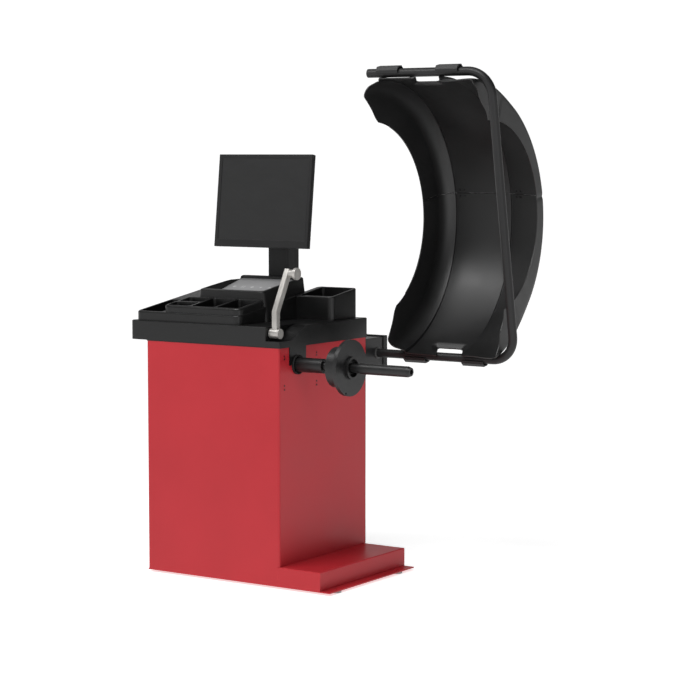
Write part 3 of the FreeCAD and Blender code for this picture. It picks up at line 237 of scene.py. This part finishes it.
# Y and Z of the spindle's axis, which the turned pieces' tool marks run round.
SPIN = (-0.161, 0.786)
MATERIALS = {
    "red_steel": powder_coat("red_steel",
        (0.38, 0.015, 0.022), (0.42, 0.019, 0.027), 0.42, 0.25, 0.26),
    "black_steel": powder_coat("black_steel",
        (0.008, 0.008, 0.0084), (0.012, 0.012, 0.0124), 0.5, 0.2, 0.24),
    "black_tube": powder_coat("black_tube",
        (0.010, 0.010, 0.0104), (0.015, 0.015, 0.0154), 0.42, 0.15, 0.28),
    "black_screw": turned("black_screw",
        (0.01, 0.01, 0.011), (0.02, 0.02, 0.02), 0.4, *SPIN, metal=0.3),
    "black_moulding": moulded("black_moulding",
        (0.003, 0.003, 0.0031), (0.005, 0.005, 0.0052), 0.34, gloss=0.36),
    "hood_plastic": moulded("hood_plastic",
        (0.004, 0.004, 0.0042), (0.006, 0.006, 0.0062), 0.43, 0.1, 700, 0.62),
    "keypad": moulded("keypad", (0.24, 0.24, 0.243), (0.27, 0.27, 0.274), 0.42, 0.1, 1500, 0.4),
    "screen_plastic": moulded("screen_plastic",
        (0.006, 0.006, 0.0063), (0.010, 0.010, 0.0103), 0.48, 0.15, 1400),
    "machined_steel": turned("machined_steel", (0.36, 0.36, 0.37), (0.46, 0.46, 0.47), 0.3, *SPIN),
    "dark_steel": turned("dark_steel",
        (0.005, 0.005, 0.0053), (0.010, 0.010, 0.0103), 0.4, *SPIN, metal=0.2),
    "aluminium": turned("aluminium", (0.5, 0.5, 0.51), (0.62, 0.62, 0.63), 0.32, *SPIN),
    "gauge_silver": cast_metal("gauge_silver", (0.40, 0.385, 0.365), (0.52, 0.505, 0.48), 0.38),
    "motor_casing": powder_coat("motor_casing", (0.10, 0.11, 0.12), (0.13, 0.14, 0.15), 0.5, 0.5),
    "sensor_plastic": moulded("sensor_plastic", (0.012, 0.012, 0.012), (0.02, 0.02, 0.02), 0.5),
    "bush_plastic": moulded("bush_plastic", (0.05, 0.05, 0.05), (0.07, 0.07, 0.07), 0.45),
    "rocker_plastic": moulded("rocker_plastic",
        (0.30, 0.012, 0.012), (0.36, 0.02, 0.02), 0.25, 0.05),
    "rubber": moulded("rubber", (0.010, 0.010, 0.010), (0.016, 0.016, 0.016), 0.7, 0.5, 1600),
    "pad_rubber": moulded("pad_rubber", (0.30, 0.30, 0.30), (0.36, 0.36, 0.36), 0.6, 0.4, 900),
    "print_ink": moulded("print_ink", (0.40, 0.40, 0.40), (0.50, 0.50, 0.50), 0.5, 0.1, 2000),
}


def screen_glass():
    """Dark glossy display with a faint haze of dust and wiping marks."""
    s = Shader("screen_glass")
    haze = s.noise(14, 5, 0.65, stretch=(1, 1, 3), distort=0.6)
    s.colour(s.mix(s.spread(haze, 0, 1, 0.4, 0.75),
                   (0.009, 0.009, 0.0093), (0.011, 0.011, 0.0114)))
    s.rough(s.spread(haze, 0.34, 0.40, 0.35, 0.7))
    s.bump((s.noise(700, 1, 0.5), 0.04, 0.0002))
    s.fixed(IOR=1.5, Specular_IOR_Level=0.35)
    return s.material


MATERIALS["screen_glass"] = screen_glass()

for entry in frame["record"]["subparts"]:
    mesh = NODES[entry["node"]].data
    mesh.materials.clear()
    mesh.materials.append(MATERIALS[entry["material_slot"]])

# Edge radii of folded, moulded and turned pieces, in metres.
EDGE_RADII = {
    "screen_bezel": 0.0018, "screen_back": 0.003, "display_column": 0.0016, "column_cover": 0.0016,
    "hood_bracket": 0.0015, "bracket_cap": 0.0025, "tube_clamps": 0.0012, "base_frame": 0.0008,
    "wheel_flange": 0.0012, "wheel_stud": 0.0008,
    "gauge_head": 0.0012, "seal_ring": 0.0012, "keypad_sheet": 0.0004, "power_rocker": 0.0005,
    "power_inlet": 0.0006, "switch_case": 0.0005, "tilt_pin": 0.001, "hinge_bushes": 0.0006,
    "top_cover": 0.0008, "gauge_arm": 0.0008, "floor_pads": 0.001, "spindle_housing": 0.001,
}


def eased(target, radius):
    """Round every sharp edge of a CAD node a little, with clean shading."""
    weld = target.modifiers.new("weld", "WELD")
    weld.merge_threshold = 0.00001
    bevel = target.modifiers.new("ease", "BEVEL")
    bevel.width = radius
    bevel.segments = 2
    bevel.limit_method = "ANGLE"
    bevel.angle_limit = math.radians(38)
    normals = target.modifiers.new("normals", "WEIGHTED_NORMAL")
    normals.weight = 60


for node_name, radius in EDGE_RADII.items():
    eased(NODES[node_name], radius)

# ---------------------------------------------------------------------- keypad print

# The sheet's front edge (Y), its height there (Z) and how much it climbs per metre of Y.
KEYPAD_FRONT, KEYPAD_TOP, KEYPAD_CLIMB = -0.084, 0.9956, 0.2686
PRINT_THICK = 0.0003
FIRST_KEY_X, KEY_PITCH = -0.262, 0.04
KEY_ROWS_Y = (0.0, 0.062)


def prism(work, centre, outline):
    """A thin printed shape on the keypad, from points about its centre."""
    rings = []
    for lift in (0, PRINT_THICK):
        ring = []
        for dx, dy in outline:
            y = centre[1] + dy
            z = KEYPAD_TOP + KEYPAD_CLIMB * (y - KEYPAD_FRONT) + lift
            ring.append(work.verts.new((centre[0] + dx, y, z)))
        rings.append(ring)
    low, high = rings
    for n in range(len(low)):
        m = (n + 1) % len(low)
        work.faces.new([low[n], low[m], high[m], high[n]])
    work.faces.new(low[::-1])
    work.faces.new(high)


def disc(radius, sides, turn=0.0):
    """A regular outline."""
    return [(radius * math.cos(turn + math.tau * n / sides),
             radius * math.sin(turn + math.tau * n / sides)) for n in range(sides)]


def bar(wide, deep, dx=0.0, dy=0.0):
    """A rectangular outline from half its width and depth, moved by dx and dy."""
    return [(dx - wide, dy - deep), (dx + wide, dy - deep), (dx + wide, dy + deep),
            (dx - wide, dy + deep)]


def keypad_print():
    """Two rows of plain key symbols: dots, arrows and bars."""
    work = bmesh.new()
    up = disc(0.008, 3, math.pi / 2)
    down = disc(0.008, 3, -math.pi / 2)
    keys = [[up], [bar(0.009, 0.0016, 0, 0.006), bar(0.009, 0.0016, 0, -0.006)],
            [disc(0.007, 20)], [bar(0.0016, 0.009, -0.005), bar(0.0016, 0.009, 0.005)],
            [disc(0.008, 4)], [down]]
    for row, y in enumerate(KEY_ROWS_Y):
        for place in range(len(keys)):
            x = FIRST_KEY_X + KEY_PITCH * place
            for outline in keys[(place + 2 * row) % len(keys)]:
                prism(work, (x, y), outline)
    bmesh.ops.recalc_face_normals(work, faces=work.faces)
    mesh = bpy.data.meshes.new("keypad_print")
    work.to_mesh(mesh)
    work.free()
    piece = bpy.data.objects.new("keypad_print", mesh)
    bpy.context.scene.collection.objects.link(piece)
    mesh.materials.append(MATERIALS["print_ink"])
    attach(piece, "machine")


keypad_print()

# ------------------------------------------------------------------------ wheel hood
# Drawn about its own centre line, like the CAD hood: local Y through the middle of the arc,
# local Z along the chord. An angle of 0 is the seam, and each half runs to its own end.

JOINTS = {joint["name"]: joint for joint in frame["joints"]}
PIVOT = Vector(JOINTS["hood_pivot"]["pos_m"])
LEAN = math.radians(10.5)
HALF_SPAN = 0.523
LEG_Y = 0.0795
HOOD_PLACE = Matrix.Translation((
    0,
    PIVOT.y - HALF_SPAN * math.sin(LEAN) - LEG_Y * math.cos(LEAN),
    PIVOT.z + HALF_SPAN * math.cos(LEAN) - LEG_Y * math.sin(LEAN),
)) @ Matrix.Rotation(LEAN, 4, "X")

SKIN_R = 0.5085
SKIN = 0.004
LEFT, CREASE_LEFT, CREASE_RIGHT, RIGHT = 0.261, 0.315, 0.559, 0.709
# The left wall leans this far over, counted up from a radius of LEAN_FROM.
LEFT_LEAN, LEAN_FROM = 0.009, 0.25
RIGHT_ROUND = 0.009
WALL_TOP_LEFT = SKIN_R - 0.064
CORNER_DROP = 0.012
TAPER, TAPER_AT_END = 0.036, 0.008
TAPER_FADE_FROM, TAPER_FADE_OVER = 50, 36
BAY_LEFT = 0.355
BAY_RIGHT, BAY_RIGHT_Y = 0.345, 0.0775
GROOVES = (0.3175, 0.5565)
GROOVE_DEEP = 0.0035
SEAM_WIDE = 0.16
STEP_HIGH = 0.009
STEP_START, STEP_END = 45, 84

# End angle of the left wall by radius, of the middle by X and of the right wall by radius.
LEFT_END = [(0.355, 74), (0.366, 77), (0.395, 81), (0.433, 86.2), (0.449, 88), (0.468, 87.4),
            (0.4845, 86.3), (0.499, 85.2), (0.5085, 84.5)]
MIDDLE_END = [(0.315, 84.5), (0.45, 85.5), (0.559, 87), (0.66, 87.4), (0.709, 86.5)]
RIGHT_END = [(0.377, 71.5), (0.396, 73.1), (0.412, 75.3), (0.438, 80.2), (0.4697, 83),
             (0.49, 86.5)]

# Hand grips: where the opening starts, its X limits there, how they drift with the angle
# (metres per degree), and the width and depth of the edge rolled outwards round it.
GRIPS = {1: (65.5, 0.372, 0.464, 0.0042, 0.0058, 0.020, 0.006),
         -1: (75.9, 0.410, 0.514, 0.0040, 0.0055, 0.022, 0.010)}
# The block that cuts a grip: its inner and outer radius, the angle it runs on to past the
# hood's end, and how much the two corners where the opening starts are rounded.
CUT_RADII = (0.46, 0.58)
CUT_PAST = 93
CUT_ROUND = 0.012
# The rolled edge fades out from one angle over a few degrees more.
ROLL_FADE_FROM, ROLL_FADE_OVER = 78, 4
# Rows of the mesh lie at the same angles up to here, then run to each column's own end.
EVEN_ROWS_TO = 62
HOOD_EDGE = 0.0012


def curve(table, value):
    """A smooth line through a short table of (place, value) pairs."""
    if value <= table[0][0]:
        return table[0][1]
    if value >= table[-1][0]:
        return table[-1][1]
    one = max(n for n, (at, _) in enumerate(table) if at <= value)

    def slope(n):
        a, b = table[max(n - 1, 0)], table[min(n + 1, len(table) - 1)]
        return (b[1] - a[1]) / (b[0] - a[0])

    (x0, y0), (x1, y1) = table[one], table[one + 1]
    wide = x1 - x0
    t = (value - x0) / wide
    return (y0 * (1 + 2 * t) * (1 - t) ** 2 + slope(one) * wide * t * (1 - t) ** 2
            + y1 * t * t * (3 - 2 * t) + slope(one + 1) * wide * t * t * (t - 1))


def ease(t):
    """0 to 1 with flat ends."""
    t = min(1.0, max(0.0, t))
    return t * t * (3 - 2 * t)


def arc_points(a, b, c, count):
    """Points on the arc through three points, both ends included."""
    (ax, ay), (bx, by), (cx, cy) = a, b, c
    d = 2 * (ax * (by - cy) + bx * (cy - ay) + cx * (ay - by))
    ux = ((ax * ax + ay * ay) * (by - cy) + (bx * bx + by * by) * (cy - ay)
          + (cx * cx + cy * cy) * (ay - by)) / d
    uy = ((ax * ax + ay * ay) * (cx - bx) + (bx * bx + by * by) * (ax - cx)
          + (cx * cx + cy * cy) * (bx - ax)) / d
    start = math.atan2(ay - uy, ax - ux)
    end = math.atan2(cy - uy, cx - ux)
    while end > start:
        end -= math.tau
    radius = math.hypot(ax - ux, ay - uy)
    return [(ux + radius * math.cos(start + (end - start) * n / (count - 1)),
             uy + radius * math.sin(start + (end - start) * n / (count - 1)))
            for n in range(count)]


def span(start, end, count):
    return [start + (end - start) * n / (count - 1) for n in range(count)]


def hood_columns():
    """The section from the left wall's free edge to the right wall's: (kind, x, radius or t)."""
    columns = [("left", 0, t) for t in span(0, 1, 14)]
    shoulder = arc_points((LEFT + LEFT_LEAN, WALL_TOP_LEFT), (LEFT + 0.024, SKIN_R - 0.021),
                          (CREASE_LEFT, SKIN_R), 16)
    columns += [("skin", x, r) for x, r in shoulder[1:-1]]
    near = [-0.0035, -0.0022, -0.0014, -0.0006, 0, 0.0006, 0.0014, 0.0022, 0.0035]
    middle = sorted([GROOVES[0] + d for d in near] + [GROOVES[1] + d for d in near]
                    + span(GROOVES[0] + 0.007, GROOVES[1] - 0.007, 44))
    columns += [("skin", x, SKIN_R) for x in middle]
    columns += [("taper", x, 0) for x in span(0.566, 0.6985, 18)]
    corner = arc_points((RIGHT - RIGHT_ROUND, 0), (RIGHT - 0.002, -0.004),
                        (RIGHT, -CORNER_DROP), 6)
    columns += [("corner", x, drop) for x, drop in corner]
    return columns + [("right", 0, t) for t in span(0, 1, 15)[1:]]


def taper(x, angle):
    """Radius of the right-hand part, which falls away less and less towards the ends."""
    drop = TAPER + (TAPER_AT_END - TAPER) * ease((angle - TAPER_FADE_FROM) / TAPER_FADE_OVER)
    return SKIN_R - drop * min(1, (x - CREASE_RIGHT) / (RIGHT - RIGHT_ROUND - CREASE_RIGHT))


def end_angle(column):
    """Where a column of the section ends, in degrees from the seam."""
    kind, x, value = column
    if kind == "left":
        return curve(LEFT_END, BAY_LEFT + (WALL_TOP_LEFT - BAY_LEFT) * value)
    if kind == "right":
        top = SKIN_R - TAPER_AT_END - CORNER_DROP
        return curve(RIGHT_END, top + (RIGHT_END[0][0] - top) * value)
    if kind == "skin" and x < CREASE_LEFT:
        return curve(LEFT_END, value)
    return curve(MIDDLE_END, x)


def rolled(x, angle, side):
    """How far the skin rolls outwards beside the hand grip."""
    start, low, high, drift_low, drift_high, wide, deep = GRIPS[side]
    along = (start - angle) * math.radians(1) * SKIN_R
    past = max(0, angle - start)
    across = max(low + drift_low * past - x, x - high - drift_high * past)
    gap = math.hypot(max(across, 0), max(along, 0))
    fade = 1 - ease((angle - ROLL_FADE_FROM) / ROLL_FADE_OVER)
    return deep * fade * max(0, 1 - gap / wide) ** 1.3


def hood_point(column, angle, side):
    """A point of the hood's inner face, in its own frame."""
    kind, x, value = column
    turn = math.radians(angle)
    if kind == "left":
        radius = BAY_LEFT + (WALL_TOP_LEFT - BAY_LEFT) * value
        x = LEFT + LEFT_LEAN * (radius - LEAN_FROM) / (WALL_TOP_LEFT - LEAN_FROM)
        x -= GROOVE_DEEP * max(0.0, 1 - angle / SEAM_WIDE)
    elif kind == "right":
        inner = BAY_RIGHT_Y * math.cos(turn) + math.sqrt(
            BAY_RIGHT ** 2 - (BAY_RIGHT_Y * math.sin(turn)) ** 2)
        top = taper(RIGHT, angle) - CORNER_DROP
        radius = top + (inner - top) * value
        x = RIGHT
    elif kind == "corner":
        radius = taper(RIGHT, angle) + value
    else:
        step = STEP_HIGH * max(0.0, (angle - STEP_START) / (STEP_END - STEP_START))
        left = ease((GROOVES[0] + 0.001 - x) / 0.0025) * ease((x - 0.272) / 0.03)
        right = ease((x - GROOVES[1] + 0.001) / 0.0025) * ease((0.70 - x) / 0.1)
        dip = max(0.0, 1 - (min(abs(x - g) for g in GROOVES) / 0.002) ** 2)
        dip = max(dip, 1 - angle / SEAM_WIDE)
        flat = value if kind == "skin" else taper(x, angle)
        radius = flat - step * max(left, right) + GROOVE_DEEP * dip + rolled(x, angle, side)
    return Vector((x, radius * math.cos(turn), side * radius * math.sin(turn)))


def grip_cutter(side):
    """A closed block through the skin in the shape of the hand grip."""
    start, low, high, drift_low, drift_high, _, _ = GRIPS[side]
    work = bmesh.new()
    past = CUT_PAST - start
    outline = ((low, start), (high, start),
               (high + drift_high * past, CUT_PAST), (low + drift_low * past, CUT_PAST))
    rings = []
    for radius in CUT_RADII:
        ring = []
        for x, angle in outline:
            turn = math.radians(angle)
            place = (x, radius * math.cos(turn), side * radius * math.sin(turn))
            ring.append(work.verts.new(place))
        rings.append(ring)
    for n in range(4):
        m = (n + 1) % 4
        work.faces.new([rings[0][n], rings[0][m], rings[1][m], rings[1][n]])
    work.faces.new(rings[0][::-1])
    work.faces.new(rings[1])
    bmesh.ops.recalc_face_normals(work, faces=work.faces)
    through = [edge for edge in work.edges
               if {edge.verts[0] in rings[0], edge.verts[1] in rings[0]} == {True, False}]
    bmesh.ops.bevel(work, geom=through[:2], offset=CUT_ROUND, segments=5, affect="EDGES",
                    profile=0.5)
    work.transform(HOOD_PLACE)
    mesh = bpy.data.meshes.new("grip_cutter")
    work.to_mesh(mesh)
    work.free()
    cutter = bpy.data.objects.new("grip_cutter", mesh)
    bpy.context.scene.collection.objects.link(cutter)
    return cutter


def settled(piece):
    """Replace a piece's mesh with what its modifiers make of it."""
    bpy.context.view_layer.update()
    result = piece.evaluated_get(bpy.context.evaluated_depsgraph_get())
    mesh = bpy.data.meshes.new_from_object(result)
    piece.modifiers.clear()
    piece.data = mesh
    return mesh


def hood_half(name, side, node_name):
    """One half of the hood: skin, walls, grooves, steps and the flanged hand grip."""
    columns = hood_columns()
    work = bmesh.new()
    grid = []
    for column in columns:
        end = end_angle(column)
        angles = ([0.004, SEAM_WIDE] + span(SEAM_WIDE, EVEN_ROWS_TO, 50)[1:]
                  + span(EVEN_ROWS_TO, end, 60)[1:])
        grid.append([work.verts.new(hood_point(column, angle, side)) for angle in angles])
    for one, two in zip(grid, grid[1:]):
        for n in range(len(one) - 1):
            corners = [one[n], one[n + 1], two[n + 1], two[n]]
            work.faces.new(corners if side < 0 else corners[::-1])
    work.normal_update()
    work.transform(HOOD_PLACE)
    mesh = bpy.data.meshes.new(name)
    work.to_mesh(mesh)
    work.free()
    piece = bpy.data.objects.new(name, mesh)
    bpy.context.scene.collection.objects.link(piece)
    thick = piece.modifiers.new("thick", "SOLIDIFY")
    thick.thickness = SKIN
    thick.offset = -1
    thick.use_even_offset = True
    thick.thickness_clamp = 1.0
    cutter = grip_cutter(side)
    hole = piece.modifiers.new("grip", "BOOLEAN")
    hole.object = cutter
    hole.solver = "EXACT"
    mesh = settled(piece)
    bpy.data.objects.remove(cutter)
    mesh.shade_smooth()
    bevel = piece.modifiers.new("ease", "BEVEL")
    bevel.width = HOOD_EDGE
    bevel.segments = 2
    bevel.limit_method = "ANGLE"
    bevel.angle_limit = math.radians(50)
    normals = piece.modifiers.new("normals", "WEIGHTED_NORMAL")
    normals.weight = 60
    mesh.materials.append(MATERIALS["hood_plastic"])
    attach(piece, "hood")
    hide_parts(node_name)


hood_half("hood_skin_upper", 1, "hood_upper")
hood_half("hood_skin_lower", -1, "hood_lower")

# ------------------------------------------------------------------ studio and camera


def soft_light(name, at, aim, size, power):
    """A rectangular soft box that faces its aim."""
    lamp = bpy.data.lights.new(name, "AREA")
    lamp.shape = "RECTANGLE"
    lamp.size, lamp.size_y = size
    lamp.energy = power
    light = bpy.data.objects.new(name, lamp)
    bpy.context.scene.collection.objects.link(light)
    light.location = at
    light.rotation_euler = (Vector(aim) - Vector(at)).to_track_quat("-Z", "Y").to_euler()
    light.visible_camera = False


# Brightness of the surroundings: level with the floor, overhead, and what is left of it on
# DIM_SIDE, the back right. FADE_LOW and FADE_HIGH are angles above the horizon, DIM_START
# and DIM_FULL cosines of the angle from DIM_SIDE.
HORIZON, DOME, SHADE = 1.05, 0.24, 0.2
FADE_LOW, FADE_HIGH = math.radians(6), math.radians(22)
DIM_SIDE = (0.8, 0.6, 0)
DIM_START, DIM_FULL = 0.35, 0.85
FLOOR_HALF = 400


def sky(strength):
    """Surroundings: white at the horizon, grey overhead, dimmer at the back right."""
    world = bpy.data.worlds.new("studio")
    world.use_nodes = True
    tree = world.node_tree
    place = tree.nodes.new("ShaderNodeTexCoord")
    split = tree.nodes.new("ShaderNodeSeparateXYZ")
    fade = tree.nodes.new("ShaderNodeMapRange")
    fade.interpolation_type = "SMOOTHSTEP"
    fade.inputs["From Min"].default_value = math.sin(FADE_LOW)
    fade.inputs["From Max"].default_value = math.sin(FADE_HIGH)
    fade.inputs["To Min"].default_value = HORIZON
    fade.inputs["To Max"].default_value = DOME
    tree.links.new(place.outputs["Generated"], split.inputs["Vector"])
    tree.links.new(split.outputs["Z"], fade.inputs["Value"])
    toward = tree.nodes.new("ShaderNodeVectorMath")
    toward.operation = "DOT_PRODUCT"
    toward.inputs[1].default_value = DIM_SIDE
    dim = tree.nodes.new("ShaderNodeMapRange")
    dim.interpolation_type = "SMOOTHSTEP"
    dim.inputs["From Min"].default_value = DIM_START
    dim.inputs["From Max"].default_value = DIM_FULL
    dim.inputs["To Min"].default_value = 1
    dim.inputs["To Max"].default_value = SHADE
    both = tree.nodes.new("ShaderNodeMath")
    both.operation = "MULTIPLY"
    tree.links.new(place.outputs["Generated"], toward.inputs[0])
    tree.links.new(toward.outputs["Value"], dim.inputs["Value"])
    tree.links.new(dim.outputs["Result"], both.inputs[0])
    tree.links.new(fade.outputs["Result"], both.inputs[1])
    tree.links.new(both.outputs["Value"], tree.nodes["Background"].inputs["Color"])
    tree.nodes["Background"].inputs["Strength"].default_value = strength
    bpy.context.scene.world = world


def studio():
    """Pale floor, pale surroundings, one wide soft sun and two soft boxes."""
    sky(1.0)
    bpy.context.scene.view_settings.view_transform = "Standard"
    wide = FLOOR_HALF
    mesh = bpy.data.meshes.new("studio_floor")
    mesh.from_pydata([(-wide, -wide, 0), (wide, -wide, 0), (wide, wide, 0), (-wide, wide, 0)],
                     [], [(0, 1, 2, 3)])
    floor = bpy.data.objects.new("studio_floor", mesh)
    bpy.context.scene.collection.objects.link(floor)
    s = Shader("studio_floor")
    s.colour(s.mix(s.noise(0.8, 2), (0.82, 0.82, 0.82), (0.84, 0.84, 0.84)))
    s.rough(s.spread(s.noise(3), 0.8, 0.9))
    s.fixed(Specular_IOR_Level=0.1, Emission_Color=(1, 1, 1, 1), Emission_Strength=0.62)
    mesh.materials.append(s.material)
    sun = bpy.data.lights.new("sun", "SUN")
    sun.energy = 0.95
    sun.angle = math.radians(55)
    lamp = bpy.data.objects.new("sun", sun)
    lamp.rotation_euler = Vector((0.12, 0.42, -0.90)).to_track_quat("-Z", "Y").to_euler()
    bpy.context.scene.collection.objects.link(lamp)
    soft_light("soft_top", (-0.1, -1.5, 3.6), (-0.1, 0, 1.0), (3.2, 0.9), 66)
    soft_light("soft_low", (3.6, -1.9, 0.9), (0.4, 0.5, 1.2), (0.5, 1.8), 9)


def camera():
    """The photograph's view: a long lens from the front right, a little above."""
    lens = bpy.data.cameras.new("camera")
    lens.sensor_width = 36
    lens.lens = 110.76
    cam = bpy.data.objects.new("camera", lens)
    cam.location = (4.34491, -6.19095, 1.52794)
    cam.rotation_euler = (math.radians(90 - 5.096), 0, math.radians(33.5011))
    bpy.context.scene.collection.objects.link(cam)
    bpy.context.scene.camera = cam


studio()
camera()
